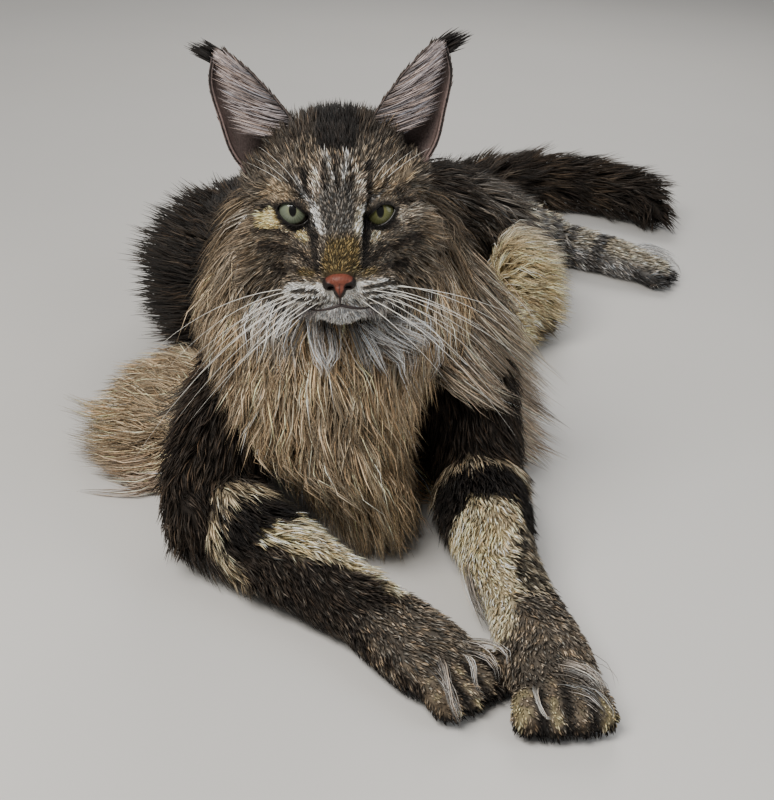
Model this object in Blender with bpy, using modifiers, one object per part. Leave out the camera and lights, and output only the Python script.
"""A life-size Maine Coon cat at rest: it lies on its chest with both forelegs stretched forward,
its hindquarters rolled over so that both hind feet and the tail come out on its left side.

The frame is +Z up, the cat faces -Y, and the origin is on the floor under its ribs.
Tables of stations are in millimetres, measured from a chest point that lies REST away from the origin.
"""
import math
import random

import bmesh
import bpy
from mathutils import Matrix, Vector
from mathutils.bvhtree import BVHTree

MM = 0.001
REST = Vector((-62.0, 70.0, 0.0))  # the floor point under the ribs, in the tables' own millimetres
GAP = 0.3                          # clearance between neighbouring nodes
CLEARANCE = 0.7                    # how far a form is grown before it is cut out of its neighbours
FLOOR_REACH = 900.0                # half the side of the block that levels the underside

# Head frame: its origin is midway between the pupils; side is the cat's left, front is along the muzzle.
EYES_AT = Vector((-33.0, -145.0, 235.0))
HEAD_PITCH, HEAD_ROLL, HEAD_YAW = math.radians(10.0), math.radians(5.0), math.radians(2.7)
EYE_SIDE, EYE_FRONT, EYE_RADIUS = 23.5, -5.5, 10.8
EYE_DROP = 1.3                     # how much lower the cat holds its left eye, and higher its right
EYE_HALF_WIDTH, EYE_HALF_HEIGHT = 8.4, 6.4
EYE_TILT = 0.28                    # how much higher an eye's outer corner is, as a slope
EYE_POINTS = 14
LID_WALL = 2.2
EAR_WALL = 2.6

# Stations: x, y, z, half width, half height.
NECK = [(-34, -88, 204, 39, 43), (-35, -74, 190, 47, 52), (-34, -40, 158, 55, 62), (-34, 0, 130, 58, 62)]
TORSO = [
    (-28, -86, 96, 40, 52), (-32, -42, 97, 60, 78), (-46, 20, 90, 70, 88), (-70, 85, 82, 78, 88),
    (-92, 150, 75, 84, 82), (-98, 220, 68, 82, 74), (-86, 290, 67, 78, 72), (-64, 348, 66, 66, 64),
    (-50, 388, 66, 44, 46),
]
UPPER_ARM_R = [
    (-70, -30, 118, 34, 50), (-92, -78, 84, 35, 46), (-108, -122, 44, 32, 38), (-106, -140, 34, 29, 34),
]
FOREARM_R = [(-106, -128, 36, 29, 34), (-72, -158, 32, 27, 30), (-30, -192, 27, 23, 27), (4, -216, 22, 21, 24)]
PAW_R = [(0, -212, 20, 21, 23), (28, -239, 17, 27, 22), (46, -254, 14, 28, 17)]
UPPER_ARM_L = [(30, -20, 118, 34, 50), (50, -46, 84, 34, 46), (60, -66, 44, 31, 38), (62, -84, 36, 28, 34)]
FOREARM_L = [(62, -72, 38, 28, 34), (66, -115, 34, 27, 30), (74, -162, 28, 23, 27), (86, -200, 22, 21, 24)]
PAW_L = [(85, -196, 20, 21, 23), (96, -242, 17, 27, 22), (101, -270, 14, 28, 17)]
THIGH_L = [(-24, 306, 90, 56, 54), (35, 326, 84, 50, 50), (90, 350, 68, 38, 42)]
SHANK_L = [(94, 352, 64, 34, 38), (124, 396, 46, 28, 32), (150, 436, 29, 22, 27)]
FOOT_L = [(142, 450, 25, 18, 24), (174, 441, 21, 18, 23), (214, 421, 19, 19, 21), (250, 402, 15, 22, 18)]
THIGH_R = [(-34, 288, 46, 52, 48), (12, 256, 40, 46, 44), (58, 224, 32, 36, 36)]
SHANK_R = [(62, 226, 28, 32, 32), (84, 268, 22, 25, 26), (100, 308, 18, 19, 21)]
FOOT_R = [(100, 318, 15, 17, 18), (112, 290, 14, 18, 17), (121, 264, 12, 20, 15)]
TAIL = [
    (-46, 392, 66, 30, 30), (5, 478, 42, 30, 36), (62, 566, 32, 34, 36), (117, 614, 31, 37, 35),
    (178, 626, 31, 38, 35), (222, 619, 30, 37, 34), (260, 598, 28, 33, 31), (283, 558, 20, 18, 22),
]
LOOKS = (
    ("eye", "eye", 0.1), ("ear", "ear_skin", 0.7), ("nose", "nose_leather", 0.5), ("tail", "coat_black", 0.8),
    ("neck", "coat_black", 0.8), ("chest", "coat_black", 0.8), ("ruff", "coat_fawn", 0.8),
    ("flank", "coat_fawn", 0.8), ("belly_fluff", "coat_fawn", 0.8), ("", "coat_brown", 0.8),
)
TOE_SPREAD = (-0.72, -0.26, 0.26, 0.72)  # side offsets of the four toes, as shares of the foot's half width
TOE_SHARE = 0.36                         # a toe's radius, as a share of the foot's half width
TOE_ROOM = 7.0                           # how far the toes stand out from the foot's last station

# Long coat: cores that reach half way to the tips, and carry the locks.
TAIL_COAT = 14.0                   # how far the tail's tips reach past its core
RUFF = [
    (-33, -66, 194, 59, 37), (-34, -84, 150, 69, 43), (-28, -92, 105, 53, 33), (-14, -96, 62, 30, 20),
    (-6, -97, 34, 14, 12),
]
FRINGE_RIGHT = [
    (-112, -46, 18, 18, 15), (-124, -12, 20, 42, 19), (-130, 34, 22, 50, 22), (-132, 74, 23, 40, 22),
]
FRINGE_LEFT = [(20, -26, 16, 20, 15), (24, 2, 20, 36, 18), (26, 44, 22, 40, 21), (22, 84, 24, 36, 22)]
BELLY_FLUFF = [(90, 188, 24, 10, 16), (104, 226, 36, 18, 27), (108, 268, 44, 22, 34), (106, 310, 46, 18, 30)]
LOCK_SINK = 0.3                    # how deep a lock's root lies in its node, as a share of its width
LOCK_FLATNESS = 0.3                # a lock's thickness, as a share of its width
LOCK_RINGS = ((-0.14, 0.62), (0.28, 1.0), (0.66, 0.72))  # place along the lock, share of its width
LOCK_SPREAD = 0.13                 # how far locks turn from the lie of the coat
LOCK_EDGE = 1.6                    # how far a lock's sharp edges are grown to keep another lock clear
LOCK_FLOOR = 1.2                   # the lowest that a lock lies above the floor
# Locks of each coated node: length and width, and how far they lift off it, as a share of their length.
BACK_LOCKS, TAIL_LOCKS = ((62, 50), 0.1), ((72, 40), 0.2)
LOCKS = {
    "ruff": ((66, 42), 0.27),
    "head": ((30, 22), 0.12),
    "flank_fringe_right": ((80, 38), 0.1),
    "flank_fringe_left": ((50, 38), 0.1),
    "tail_end": TAIL_LOCKS,
    "tail_middle": TAIL_LOCKS,
    "tail_root": TAIL_LOCKS,
    "thigh_left": ((54, 34), 0.12),
    "belly_fluff": ((42, 30), 0.15),
    "neck": ((42, 38), 0.05),
    "chest": BACK_LOCKS,
    "belly": BACK_LOCKS,
    "hindquarters": BACK_LOCKS,
}
TIP_TUFT = (0.97, (0.75, 0.0, 0.8), 17.0, 6.0)          # place up the ear, direction, length, width
EAR_HAIR = ((0.16, (0.9, 0.0, 0.5), 30.0, 12.0), (0.46, (0.7, 0.0, 0.85), 27.0, 11.0))
TOE_TUFT = (17.0, 6.5, 0.15)                            # length, width, lift
SEED = 11

# Each chain's nodes, and the sections where one ends and the next begins: a point and the chain's direction.
CHAINS = {
    "torso": (("neck", "chest", "belly", "hindquarters"),
              [((-33, -44, 166), (0.0, 0.62, -0.78)), ((-58, 60, 90), (-0.30, 0.95, 0.0)),
               ((-94, 196, 75), (-0.05, 1.0, 0.0))]),
    "foreleg_right": (("upper_arm_right", "forearm_right", "forepaw_right"),
                      [((-96, -136, 40), (0.75, -0.66, 0.0)), ((4, -216, 22), (0.75, -0.66, 0.0))]),
    "foreleg_left": (("upper_arm_left", "forearm_left", "forepaw_left"),
                     [((63, -92, 40), (0.12, -0.99, 0.0)), ((86, -200, 22), (0.25, -0.97, 0.0))]),
    "hindleg_left": (("thigh_left", "shank_left", "hind_foot_left"),
                     [((92, 352, 66), (0.66, 0.75, 0.0)), ((151, 438, 28), (0.93, 0.37, 0.0))]),
    "hindleg_right": (("thigh_right", "shank_right"), [((66, 232, 30), (0.55, 0.83, 0.0))]),
    "tail": (("tail_root", "tail_middle", "tail_end"),
             [((40, 532, 35), (0.55, 0.83, 0.0)), ((170, 626, 31), (1.0, 0.08, 0.0))]),
}

# The forms that each node is cut clear of.
CLEARED_OF = {
    "head": ("torso",),
    "nose_leather": ("head",),
    "ear_left": ("head",),
    "ear_right": ("head",),
    "upper_arm_right": ("torso",),
    "forearm_right": ("torso",),
    "upper_arm_left": ("torso",),
    "forearm_left": ("torso",),
    "thigh_left": ("torso",),
    "shank_left": ("torso",),
    "thigh_right": ("torso", "hindleg_left"),
    "shank_right": ("torso", "hindleg_left"),
    "hind_foot_right": ("torso", "hindleg_left", "hindleg_right"),
    "forepaw_left": ("foreleg_right",),
    "tail_root": ("torso", "hindleg_left"),
    "ruff": ("torso", "head", "foreleg_right", "foreleg_left", "ear_left", "ear_right"),
    "flank_fringe_right": ("torso", "foreleg_right", "ruff"),
    "flank_fringe_left": ("torso", "foreleg_left", "ruff"),
    "belly_fluff": ("torso", "hindleg_right", "hind_foot_right", "hindleg_left", "flank_fringe_left"),
}

COLOURS = {
    "coat_black": (0.030, 0.024, 0.020, 1.0),
    "coat_brown": (0.16, 0.115, 0.075, 1.0),
    "coat_fawn": (0.42, 0.31, 0.19, 1.0),
    "nose_leather": (0.42, 0.13, 0.085, 1.0),
    "ear_skin": (0.36, 0.25, 0.23, 1.0),
    "eye": (0.32, 0.36, 0.17, 1.0),
}


def clear_scene():
    for obj in list(bpy.data.objects):
        bpy.data.objects.remove(obj, do_unlink=True)


def collection(name):
    made = bpy.data.collections.new(name)
    bpy.context.scene.collection.children.link(made)
    return made


def material(name, roughness=0.8):
    made = bpy.data.materials.get(name)
    if made is None:
        made = bpy.data.materials.new(name)
        made.use_nodes = True
        shader = made.node_tree.nodes["Principled BSDF"]
        shader.inputs["Base Color"].default_value = COLOURS[name]
        shader.inputs["Roughness"].default_value = roughness
        shader.inputs["Metallic"].default_value = 0.0
    return made


def world(point):
    """A point of the tables, in metres from the origin."""
    return (Vector(point) - REST) * MM


def head_matrix():
    """Takes head millimetres (side, back, up) to metres in the part's frame."""
    turn = (Matrix.Rotation(HEAD_YAW, 4, "Z") @ Matrix.Rotation(-HEAD_PITCH, 4, "X")
            @ Matrix.Rotation(-HEAD_ROLL, 4, "Y"))
    return Matrix.Translation(world(EYES_AT)) @ turn @ Matrix.Scale(MM, 4)


def on_head(side, front, up):
    return head_matrix() @ Vector((side, -front, up))


def mesh_object(name, bm, where):
    bmesh.ops.recalc_face_normals(bm, faces=bm.faces[:])
    if bm.calc_volume(signed=True) < 0:
        bmesh.ops.reverse_faces(bm, faces=bm.faces[:])
    mesh = bpy.data.meshes.new(name)
    bm.to_mesh(mesh)
    bm.free()
    obj = bpy.data.objects.new(name, mesh)
    where.objects.link(obj)
    return obj


def catmull_rom(stations, steps):
    """Values between the stations on one smooth curve."""
    rows = [Vector(s) for s in stations]
    ends = [rows[0] * 2 - rows[1]] + rows + [rows[-1] * 2 - rows[-2]]
    found = []
    for i in range(1, len(ends) - 2):
        a, b, c, d = ends[i - 1:i + 3]
        for k in range(steps):
            t = k / steps
            found.append(0.5 * (2 * b + (c - a) * t + (2 * a - 5 * b + 4 * c - d) * t ** 2
                                + (3 * b - a - 3 * c + d) * t ** 3))
    found.append(rows[-1])
    return found


def sweep(name, stations, where, place=world, sides=20, steps=4, caps=(0.94, 0.7, 0.34)):
    """A limb: elliptical sections along a smooth curve. Cap rings stand out by shares of the end's radius."""
    rows = catmull_rom(stations, steps)
    points = [Vector(r[:3]) for r in rows]
    bm = bmesh.new()
    rings = []

    def ring(centre, across, upward, wide, high):
        corners = []
        for k in range(sides):
            angle = 2 * math.pi * k / sides
            at = centre + across * (wide * math.cos(angle)) + upward * (high * math.sin(angle))
            corners.append(bm.verts.new(place(at)))
        rings.append(corners)

    frames = []
    for i, point in enumerate(points):
        along = (points[min(i + 1, len(points) - 1)] - points[max(i - 1, 0)]).normalized()
        across = along.cross(Vector((0, 0, 1)))
        across = across.normalized() if across.length > 0.05 else Vector((1, 0, 0))
        frames.append((point, along, across, across.cross(along), rows[i][3], rows[i][4]))
    point, along, across, upward, wide, high = frames[0]
    for out in caps:
        shrink = math.sqrt(1 - out * out)
        ring(point - along * (out * min(wide, high)), across, upward, wide * shrink, high * shrink)
    for point, _, across, upward, wide, high in frames:
        ring(point, across, upward, wide, high)
    point, along, across, upward, wide, high = frames[-1]
    for out in reversed(caps):
        shrink = math.sqrt(1 - out * out)
        ring(point + along * (out * min(wide, high)), across, upward, wide * shrink, high * shrink)
    for one, two in zip(rings, rings[1:]):
        for k in range(sides):
            bm.faces.new((one[k], one[(k + 1) % sides], two[(k + 1) % sides], two[k]))
    bm.faces.new(rings[0])
    bm.faces.new(rings[-1])
    return mesh_object(name, bm, where)


def ellipsoid(name, centre, radii, where, place=world, detail=3):
    bm = bmesh.new()
    bmesh.ops.create_icosphere(bm, subdivisions=detail, radius=1.0)
    for vert in bm.verts:
        vert.co = place(Vector(centre) + Vector(c * r for c, r in zip(vert.co, radii)))
    return mesh_object(name, bm, where)


def baked(obj):
    """Replaces the mesh by what its modifiers make of it."""
    graph = bpy.context.evaluated_depsgraph_get()
    mesh = bpy.data.meshes.new_from_object(obj.evaluated_get(graph))
    obj.modifiers.clear()
    obj.data = mesh
    return obj


def joined(name, pieces, where):
    """The pieces' meshes in one object, still overlapping."""
    bm = bmesh.new()
    for piece in pieces:
        bm.from_mesh(piece.data)
        bpy.data.objects.remove(piece)
    mesh = bpy.data.meshes.new(name)
    bm.to_mesh(mesh)
    bm.free()
    obj = bpy.data.objects.new(name, mesh)
    where.objects.link(obj)
    return obj


def fused(name, pieces, where, cell, rounds, triangles):
    """One smooth body from overlapping pieces, thinned to a number of triangles."""
    obj = joined(name, pieces, where)
    remesh = obj.modifiers.new("fuse", "REMESH")
    remesh.mode = "VOXEL"
    remesh.voxel_size = cell * MM
    smooth = obj.modifiers.new("soften", "SMOOTH")
    smooth.factor = 0.5
    smooth.iterations = rounds
    baked(obj)
    keep_largest(obj)
    faces = sum(len(p.vertices) - 2 for p in obj.data.polygons)
    thin = obj.modifiers.new("thin", "DECIMATE")
    thin.ratio = min(1.0, triangles / faces)
    baked(obj)
    return obj


def body_volume(faces):
    total = 0.0
    for face in faces:
        corners = [v.co for v in face.verts]
        for i in range(1, len(corners) - 1):
            total += corners[0].dot(corners[i].cross(corners[i + 1]))
    return total / 6


def keep_largest(obj):
    """Drops every loose scrap and sealed hollow of a mesh."""
    bm = bmesh.new()
    bm.from_mesh(obj.data)
    left = set(bm.faces)
    bodies = []
    while left:
        seed = left.pop()
        body, front = {seed}, [seed]
        while front:
            face = front.pop()
            for edge in face.edges:
                for other in edge.link_faces:
                    if other in left:
                        left.discard(other)
                        body.add(other)
                        front.append(other)
        bodies.append(body)
    if len(bodies) > 1:
        largest = max(bodies, key=body_volume)
        loose = [f for body in bodies if body is not largest for f in body]
        bmesh.ops.delete(bm, geom=loose, context="FACES")
        bmesh.ops.delete(bm, geom=[v for v in bm.verts if not v.link_faces], context="VERTS")
    bm.to_mesh(obj.data)
    bm.free()
    return obj


def cut(obj, other, solver="EXACT"):
    """Takes one closed mesh out of obj."""
    step = obj.modifiers.new("cut", "BOOLEAN")
    step.operation = "DIFFERENCE"
    step.solver = solver
    step.object = other
    baked(obj)
    return keep_largest(obj)


def union_of(obj, where):
    """Joins a collection of closed meshes to obj, and removes them."""
    step = obj.modifiers.new("join", "BOOLEAN")
    step.operation = "UNION"
    step.operand_type = "COLLECTION"
    step.collection = where
    baked(obj)
    for piece in list(where.objects):
        bpy.data.objects.remove(piece)
    return keep_largest(obj)


def grown(obj, by=CLEARANCE):
    """A copy of obj's mesh that stands out by a clearance, to cut its neighbours with."""
    copy = bpy.data.objects.new(obj.name + "_grown", obj.data.copy())
    HELPERS.objects.link(copy)
    copy.hide_render = True
    copy.display_type = "WIRE"
    step = copy.modifiers.new("grow", "DISPLACE")
    step.mid_level = 0.0
    step.strength = by * MM
    return baked(copy)


def form_of(name):
    """The form that a node is part of."""
    return next((form for form, (names, _) in CHAINS.items() if name in names), name)


def cut_clear(obj, cutters):
    """Takes each neighbour's form, with its clearance, out of obj."""
    for name in CLEARED_OF.get(obj.name, ()):
        cut(obj, cutters[name], "MANIFOLD")
    return obj


def block(name, low, high):
    bm = bmesh.new()
    bmesh.ops.create_cube(bm, size=1.0)
    low, high = Vector(low), Vector(high)
    for vert in bm.verts:
        vert.co = [low[i] + (vert.co[i] + 0.5) * (high[i] - low[i]) for i in range(3)]
    return mesh_object(name, bm, HELPERS)


def level(obj):
    """Cuts obj flat where it would sink below the floor."""
    reach = FLOOR_REACH * MM
    cutter = block("below_floor", (-reach, -reach, -reach), (reach, reach, 0.0))
    cut(obj, cutter)
    bpy.data.objects.remove(cutter)
    return obj


def half_space(point, direction, sign, offset):
    """A large block that begins a little past a plane, on one side of it."""
    bm = bmesh.new()
    bmesh.ops.create_cube(bm, size=1.0)
    reach = FLOOR_REACH * MM
    turn = Vector(direction).to_track_quat("Z", "Y").to_matrix().to_4x4()
    start = world(point)
    for vert in bm.verts:
        side = Vector((vert.co.x * 2 * reach, vert.co.y * 2 * reach, sign * (vert.co.z + 0.5) * 2 * reach))
        side.z += sign * offset * MM
        vert.co = start + turn @ side
    return mesh_object("half_space", bm, HELPERS)


def parted(obj, names, cuts):
    """Splits a chain at its planes, with a thin gap, into one object for each name."""
    rest = obj
    pieces = []
    for name, (point, direction) in zip(names, cuts):
        piece = bpy.data.objects.new(name, rest.data.copy())
        PARTS.objects.link(piece)
        ahead = half_space(point, direction, 1, -GAP / 2)
        behind = half_space(point, direction, -1, -GAP / 2)
        cut(piece, ahead)
        cut(rest, behind)
        bpy.data.objects.remove(ahead)
        bpy.data.objects.remove(behind)
        pieces.append(piece)
    rest.name = names[-1]
    pieces.append(rest)
    return pieces


def toes(name, stations, where):
    """Four toe knuckles across the front of a foot."""
    tip, before = Vector(stations[-1][:3]), Vector(stations[-2][:3])
    half = stations[-1][3]
    radius = half * TOE_SHARE
    along = (tip - before).normalized()
    across = along.cross(Vector((0, 0, 1))).normalized()
    made = []
    for k, share in enumerate(TOE_SPREAD):
        ahead = TOE_ROOM + 0.22 * half * (1 - share * share)
        centre = tip + along * ahead + across * (half * share)
        centre.z = radius
        made.append(ellipsoid(f"{name}_toe{k}", centre, (radius, radius * 1.1, radius * 1.25), where, detail=2))
    return made


def shrunk(stations, depth):
    """The same chain, thinner all round by a depth."""
    return [(x, y, z, wide - depth, high - depth) for x, y, z, wide, high in stations]


def tree_of(obj):
    bm = bmesh.new()
    bm.from_mesh(obj.data)
    tree = BVHTree.FromBMesh(bm)
    bm.free()
    return tree


def is_inside(tree, point):
    """Whether a ray from the point leaves the form through the first face that it meets."""
    ray = Vector((0.13, 0.21, 0.97))
    place, normal, _, _ = tree.ray_cast(point, ray)
    return place is not None and normal.dot(ray) > 0


def lock_rings(place, normal, tangent, length, width, lift):
    """A lock's sections from its sunk root to its tip: centre, side, up, half width, half height."""
    side = normal.cross(tangent)
    rings = []
    for share, wide in (*LOCK_RINGS, (1.0, 0.0)):
        rise = length * lift * share if share > 0 else -LOCK_SINK * width
        centre = place + (tangent * (length * share) + normal * rise) * MM
        half, thick = width * wide / 2 * MM, width * wide * LOCK_FLATNESS / 2 * MM
        lowest = abs(side.z) * half + abs(normal.z) * thick + LOCK_FLOOR * MM
        centre.z = max(centre.z, lowest)
        rings.append((centre, side, normal, half, thick))
    return rings


def lock(rings, where, by=0.0):
    """A flat, tapered, bent lock of hair: three-sided sections with a ridge on top, and a point."""
    bm = bmesh.new()
    loops = []
    for centre, side, up, wide, high in rings[:-1]:
        wide, high = wide + by * LOCK_EDGE * MM, high + by * CLEARANCE * MM
        corners = (side * wide - up * high * 0.6, up * high * 1.4, side * -wide - up * high * 0.6)
        loops.append([bm.verts.new(centre + corner) for corner in corners])
    along = (rings[-1][0] - rings[-2][0]).normalized()
    tip = bm.verts.new(rings[-1][0] + along * (by * LOCK_EDGE * MM))
    bm.faces.new(loops[0])
    for one, two in zip(loops, loops[1:]):
        for k in range(3):
            bm.faces.new((one[k], one[(k + 1) % 3], two[(k + 1) % 3], two[k]))
    for k in range(3):
        bm.faces.new((loops[-1][k], loops[-1][(k + 1) % 3], tip))
    return mesh_object("lock", bm, where)


def tiers(stations, shares, counts, arc=(0.0, 360.0), flow=(0, 0, 0)):
    """Seeds for locks in rings round a chain: a point in metres and the lie of the coat there."""
    rows = catmull_rom(stations, 12)
    found = []
    for tier, (share, count) in enumerate(zip(shares, counts)):
        i = round(share * (len(rows) - 1))
        before, after = Vector(rows[max(i - 1, 0)][:3]), Vector(rows[min(i + 1, len(rows) - 1)][:3])
        along = (after - before).normalized()
        across = along.cross(Vector((0, 0, 1)))
        across = across.normalized() if across.length > 0.05 else Vector((1, 0, 0))
        upward = across.cross(along)
        for k in range(count):
            angle = math.radians(arc[0] + (arc[1] - arc[0]) * (k + 0.5 * (tier % 2)) / count)
            away = across * (rows[i][3] * math.cos(angle)) + upward * (rows[i][4] * math.sin(angle))
            found.append((world(Vector(rows[i][:3]) + away), along + Vector(flow)))
    return found


def clear_lock(piece, node_name, bases, wraps):
    """Cuts a lock clear of other nodes' forms and locks. False if nothing is left of it."""
    for name, cutter, tree in (*bases, *wraps):
        if name != node_name and tree.overlap(tree_of(piece)):
            cut(piece, cutter, "MANIFOLD")
            if not piece.data.polygons:
                return False
    return True


def dress(node, all_rings, bases, wraps):
    """Joins locks to a node, each cut clear of the others, and adds their grown copies to wraps."""
    where = collection("locks")
    added = []
    for rings in all_rings:
        others = [tree for name, _, tree in bases if name != node.name]
        if any(is_inside(tree, ring[0]) for tree in others for ring in rings[1:]):
            continue
        piece = lock(rings, where)
        if not clear_lock(piece, node.name, bases, wraps):
            bpy.data.objects.remove(piece)
            continue
        wrap = lock(rings, HELPERS, 1.0)
        wrap.hide_render = True
        added.append((node.name, wrap, tree_of(wrap)))
    if len(where.objects):
        union_of(node, where)
    bpy.data.collections.remove(where)
    wraps += added


def grown_locks(node, form, seeds, size, lift):
    """Rings of a lock at each seed that lies on this node. size is length and width, varied a little."""
    tree = tree_of(node)
    found = []
    for point, direction in seeds:
        length, width = size[0] * DRAW.uniform(0.85, 1.12), size[1] * DRAW.uniform(0.88, 1.1)
        turn = Vector(DRAW.uniform(-LOCK_SPREAD, LOCK_SPREAD) for _ in range(3))
        place, normal, _, _ = form.find_nearest(point)
        tangent = direction + turn
        tangent -= normal * tangent.dot(normal)
        on_node = tree.find_nearest(place)[3] < GAP * MM
        if on_node and place.z > 3 * LOCK_FLOOR * MM and tangent.length > 0.05:
            found.append(lock_rings(place, normal, tangent.normalized(), length, width, lift))
    return found


def make_torso():
    pieces = [sweep("neck", NECK, HELPERS), sweep("trunk", TORSO, HELPERS)]
    return fused("torso", pieces, PARTS, 5.0, 8, 1120)


def make_leg(name, chains, triangles, toed=True):
    pieces = [sweep(f"{name}{i}", chain, HELPERS) for i, chain in enumerate(chains)]
    if toed:
        pieces += toes(name, chains[-1], HELPERS)
    return fused(name, pieces, PARTS, 2.8, 3, triangles)


def head_place(point):
    return on_head(point[0], -point[1], point[2])


def mirrored(side_points):
    """The same rows for the cat's left and right."""
    return [(s * x, *rest) for x, *rest in side_points for s in (1, -1)]


def make_head_form():
    """Skull, muzzle and cheeks in one body. Rows are side, back, up and radii, in head millimetres."""
    masses = [
        (0, 40, 15, 40, 46, 36), (0, 12, 18, 30, 23, 24), (0, -34, -34, 9, 8, 8),
        (0, -24, -46, 13, 12, 9),
    ] + mirrored([
        (27, 18, -10, 20, 20, 20), (25, 32, -28, 20, 26, 21), (14, -26, -34, 16, 14, 11),
        (19, 1, 15, 15, 9, 8), (26, 4, -15, 15, 10, 9), (24, 38, 34, 14, 16, 13), (39, 40, 13, 13, 17, 15),
    ])
    made = [ellipsoid(f"mass{i}", row[:3], row[3:], HELPERS, head_place) for i, row in enumerate(masses)]
    bridge = [(0, 4, 15, 18, 14), (0, -12, 4, 15, 13), (0, -26, -10, 13, 11), (0, -34, -24, 11.5, 9)]
    muzzle = [(0, 5, -22, 30, 22), (0, -14, -27, 27, 18), (0, -26, -33, 22, 13)]
    made.append(sweep("bridge", bridge, HELPERS, head_place))
    made.append(sweep("muzzle", muzzle, HELPERS, head_place))
    for sign in (1, -1):
        jaw = [(sign * 20, 25, -34, 11, 11), (sign * 12, -5, -42, 11, 10), (0, -18, -45, 11, 9)]
        made.append(sweep("jaw", jaw, HELPERS, head_place))
    return fused("head", made, PARTS, 1.9, 6, 1500)


def eyeball(name, sign, radius, where):
    bm = bmesh.new()
    bmesh.ops.create_uvsphere(bm, u_segments=16, v_segments=8, radius=radius)
    for vert in bm.verts:
        vert.co = on_head(sign * EYE_SIDE + vert.co.x, EYE_FRONT + vert.co.z, vert.co.y - sign * EYE_DROP)
    return mesh_object(name, bm, where)


def eye_outline(sign):
    """The opening between the lids as side and up offsets from the pupil. Its outer corner is the higher."""
    points = []
    for k in range(EYE_POINTS):
        angle = 2 * math.pi * k / EYE_POINTS
        across = EYE_HALF_WIDTH * math.cos(angle)
        rise = EYE_HALF_HEIGHT * math.sin(angle)
        points.append((sign * across, rise + EYE_TILT * across))
    return points


def add_lids(head):
    """Lids as a shell over each eye, joined to the head and open where the eye shows."""
    where = collection("lids")
    for sign in (1, -1):
        eyeball("lid", sign, EYE_RADIUS + LID_WALL, where)
    union_of(head, where)
    bpy.data.collections.remove(where)
    for sign in (1, -1):
        socket = eyeball("socket", sign, EYE_RADIUS + 2 * GAP, HELPERS)
        bm = bmesh.new()
        rings = []
        for front in (EYE_FRONT, EYE_FRONT + 2 * EYE_RADIUS):
            corners = [on_head(sign * EYE_SIDE + x, front, z - sign * EYE_DROP) for x, z in eye_outline(sign)]
            rings.append([bm.verts.new(corner) for corner in corners])
        for k in range(EYE_POINTS):
            turn = (k + 1) % EYE_POINTS
            bm.faces.new((rings[0][k], rings[0][turn], rings[1][turn], rings[1][k]))
        bm.faces.new(rings[0])
        bm.faces.new(rings[1])
        opening = mesh_object("opening", bm, HELPERS)
        for cutter in (opening, socket):
            cut(head, cutter)
            bpy.data.objects.remove(cutter)


def cut_mouth(head):
    """The line between the lips: up the middle to the nose, and back along each side."""
    grooves = [[(0, -44, -36, 0.9, 0.9), (0, -42, -40, 0.9, 0.9), (0, -39, -43, 1.0, 1.0)]]
    for sign in (1, -1):
        grooves.append([
            (0, -40, -42, 1.0, 1.0), (sign * 8, -38, -44.5, 1.0, 1.0), (sign * 16, -31, -43.5, 1.1, 1.1),
            (sign * 23, -20, -41, 1.1, 1.1), (sign * 27, -8, -39, 1.0, 1.0),
        ])
    for groove in grooves:
        cutter = sweep("groove", groove, HELPERS, head_place, sides=5, steps=2, caps=(0.7,))
        cut(head, cutter)
        bpy.data.objects.remove(cutter)


def make_nose():
    """Nose leather: a wide wedge with two nostrils."""
    pieces = [
        ellipsoid("pad", (0, -40, -29.5), (7.2, 5.0, 4.2), HELPERS, head_place),
        ellipsoid("pad", (0, -41.5, -34), (3.4, 4.0, 4.4), HELPERS, head_place),
    ]
    for sign in (1, -1):
        pieces.append(ellipsoid("wing", (sign * 5.2, -39.5, -31), (3.8, 4.6, 3.7), HELPERS, head_place))
    nose = fused("nose_leather", pieces, PARTS, 0.9, 2, 180)
    for sign in (1, -1):
        nostril = ellipsoid("nostril", (sign * 4.6, -44.6, -32.6), (2.2, 3.2, 1.2), HELPERS, head_place, 2)
        cut(nose, nostril)
        bpy.data.objects.remove(nostril)
    return nose


def ear_edges(t):
    """The left ear's inner and outer edges and the depth of its cup at a share of its height."""
    inner = [(18, 31, 36), (25, 31, 50), (35, 34, 63), (47, 37, 76), (57, 40, 84.5)]
    outer = [(49, 38, 18), (57.5, 36, 32), (62, 37, 48), (66.5, 38, 68), (64.5, 41, 83)]
    place = []
    for edge in (inner, outer):
        rows = catmull_rom(edge, 8)
        place.append(rows[min(len(rows) - 1, round(t * (len(rows) - 1)))])
    depth = 20.0 * (1 - t) ** 0.7 + 2.0
    return place[0], place[1], depth


def make_ear(name, sign):
    """A thin cup, open to the front, that narrows to its tip."""
    around, along = 6, 7
    bm = bmesh.new()
    grid = []
    for i in range(along + 1):
        inner, outer, depth = ear_edges(i / along)
        row = []
        for k in range(around + 1):
            share = k / around
            across = inner.lerp(outer, 0.5 - 0.5 * math.cos(math.pi * share))
            across.y += depth * math.sin(math.pi * share)
            row.append(bm.verts.new(on_head(sign * across.x, -across.y, across.z)))
        grid.append(row)
    for i in range(along):
        for k in range(around):
            bm.faces.new((grid[i][k], grid[i][k + 1], grid[i + 1][k + 1], grid[i + 1][k]))
    ear = mesh_object(name, bm, PARTS)
    thick = ear.modifiers.new("wall", "SOLIDIFY")
    thick.thickness = EAR_WALL * MM
    thick.offset = 0.0
    baked(ear)
    return ear


def finish(obj):
    """Gives a node the plain colour of its name's first match."""
    for start, look, roughness in LOOKS:
        if obj.name.startswith(start):
            obj.data.materials.clear()
            obj.data.materials.append(material(look, roughness))
            break
    obj.data.shade_smooth()


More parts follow.
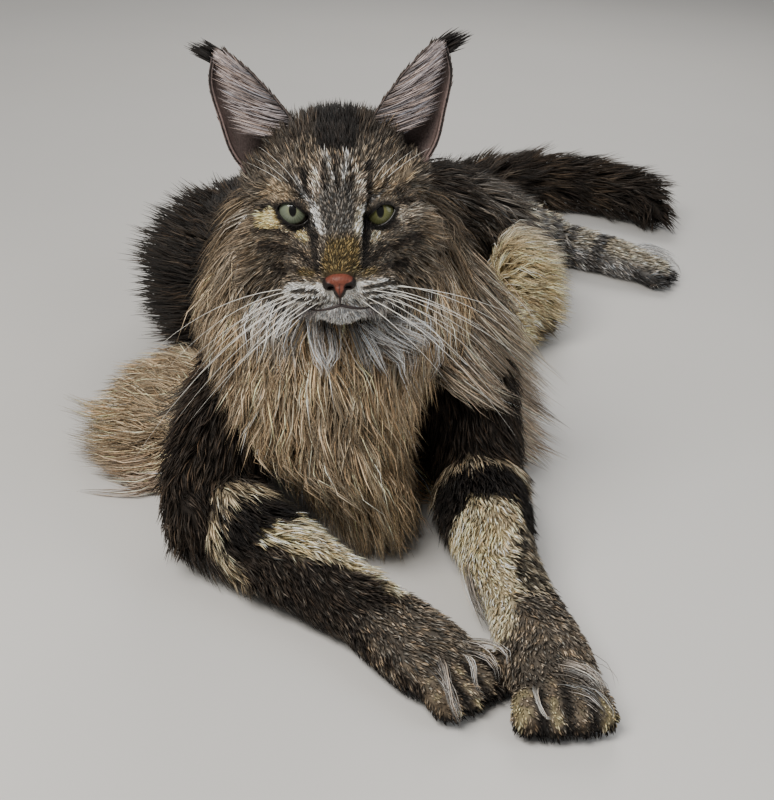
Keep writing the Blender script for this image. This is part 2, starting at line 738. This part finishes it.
def cheek_seeds():
    """Seeds for the locks that frame the face: a point in metres and a direction."""
    turn = head_matrix().to_3x3()
    rows = mirrored([(44, 28, -6), (43, 26, -26), (32, 28, -46)])
    return [(head_place(row), turn @ Vector((0.8 if row[0] > 0 else -0.8, 0.55, -0.9))) for row in rows]


def ear_locks(sign):
    """The tuft on an ear's tip, and the hair that reaches across its cup from the inner edge."""
    turn = head_matrix().to_3x3()
    front = (turn @ Vector((0, -1, 0))).normalized()
    found = []
    for share, direction, length, width in (TIP_TUFT, *EAR_HAIR):
        inner, outer, _ = ear_edges(share)
        start = inner.lerp(outer, 0.8) if share > 0.9 else inner
        tangent = (turn @ Vector((sign * direction[0], direction[1], direction[2]))).normalized()
        place = head_place((sign * start.x, start.y, start.z))
        found.append(lock_rings(place, front, tangent, length, width, 0.0))
    return found


def toe_locks(stations):
    """Tufts that come out between the toes of a foot and curl upward."""
    tip, before = Vector(stations[-1][:3]), Vector(stations[-2][:3])
    along = (tip - before).normalized()
    along.z = 0.0
    across = along.cross(Vector((0, 0, 1))).normalized()
    half = stations[-1][3]
    found = []
    for share in (-0.5, 0.0, 0.5):
        place = world(tip + along * (TOE_ROOM + half * (0.5 - 0.3 * abs(share))) + across * (half * share))
        place.z = half * TOE_SHARE * 1.3 * MM
        tangent = (along + Vector((0, 0, 0.9)) + across * share).normalized()
        normal = tangent.cross(across).normalized() * -1
        found.append(lock_rings(place, normal, tangent, *TOE_TUFT))
    return found


def main():
    head = make_head_form()
    forms = [make_torso(), head]
    forms.append(make_leg("foreleg_right", [UPPER_ARM_R, FOREARM_R, PAW_R], 460))
    forms.append(make_leg("foreleg_left", [UPPER_ARM_L, FOREARM_L, PAW_L], 460))
    forms.append(make_leg("hindleg_right", [THIGH_R, SHANK_R], 190, toed=False))
    forms.append(make_leg("hind_foot_right", [FOOT_R], 150))
    forms.append(make_leg("hindleg_left", [THIGH_L, SHANK_L, FOOT_L], 400))
    for name, rows, count in (
        ("tail", shrunk(TAIL, TAIL_COAT), 180), ("ruff", RUFF, 240), ("flank_fringe_right", FRINGE_RIGHT, 100),
        ("flank_fringe_left", FRINGE_LEFT, 100), ("belly_fluff", BELLY_FLUFF, 100),
    ):
        forms.append(fused(name, [sweep("core", rows, HELPERS)], PARTS, 5.0, 2, count))
    for form in forms:
        if form is not head:
            level(form)
    forms += [make_ear("ear_left", 1), make_ear("ear_right", -1)]
    cutters = {form.name: grown(form) for form in forms}
    trees = {form.name: tree_of(form) for form in forms}

    node = {}
    for form in forms:
        names, cuts = CHAINS.get(form.name, ((form.name,), []))
        for obj, name in zip(parted(form, names, cuts), names):
            node[name] = obj
    bases = []
    for name, obj in node.items():
        base = grown(obj)
        bases.append((name, base, tree_of(base)))

    back = tiers(TORSO, [0.2 + 0.12 * k for k in range(7)], [4] * 7, (0, 180), (0, 0, -0.4))
    tail = tiers(shrunk(TAIL, TAIL_COAT), [0.1 + 0.16 * k for k in range(6)], [5] * 6)
    ruff = tiers(RUFF, (0.04, 0.2, 0.36, 0.52, 0.68, 0.84), (7, 7, 6, 5, 4, 2), (-25, 205))
    fan = (0.15, 0.5, 0.85)
    seeds = {
        "ruff": ruff,
        "head": cheek_seeds(),
        "flank_fringe_right": tiers(FRINGE_RIGHT, fan, (3,) * 3, (100, 205), (-1.6, 0.3, -0.2)),
        "flank_fringe_left": tiers(FRINGE_LEFT, fan, (3,) * 3, (-25, 80), (1.6, 0.2, -0.2)),
        "tail_end": tail,
        "tail_middle": tail,
        "tail_root": tail,
        "thigh_left": tiers(THIGH_L, (0.3, 0.65, 0.95), (3, 2, 3), (20, 150), (0.3, 0.5, -0.8)),
        "belly_fluff": tiers(BELLY_FLUFF, fan, (2, 3, 2), (-20, 90), (1.0, 0, -0.7)),
        "neck": tiers(NECK, (0.4, 0.8), (3,) * 2, (25, 155)),
        "chest": back,
        "belly": back,
        "hindquarters": back,
    }
    rings = {}
    for name, how in LOCKS.items():
        rings[name] = grown_locks(node[name], trees[form_of(name)], seeds[name], *how)
    rings["ear_left"], rings["ear_right"] = ear_locks(1), ear_locks(-1)
    rings["forepaw_left"], rings["forepaw_right"] = toe_locks(PAW_L), toe_locks(PAW_R)

    add_lids(head)
    cut_mouth(head)
    wraps = []
    for obj in node.values():
        cut_clear(obj, cutters)
    for name, found in rings.items():
        dress(node[name], found, bases, wraps)
    nose = cut_clear(make_nose(), cutters)
    eyes = [eyeball("eye_left", 1, EYE_RADIUS, PARTS), eyeball("eye_right", -1, EYE_RADIUS, PARTS)]
    for obj in (*node.values(), nose, *eyes):
        finish(obj)
    for obj in list(HELPERS.objects):
        bpy.data.objects.remove(obj)


clear_scene()
PARTS = collection("maine_coon_cat")
HELPERS = collection("helpers")
DRAW = random.Random(SEED)
main()
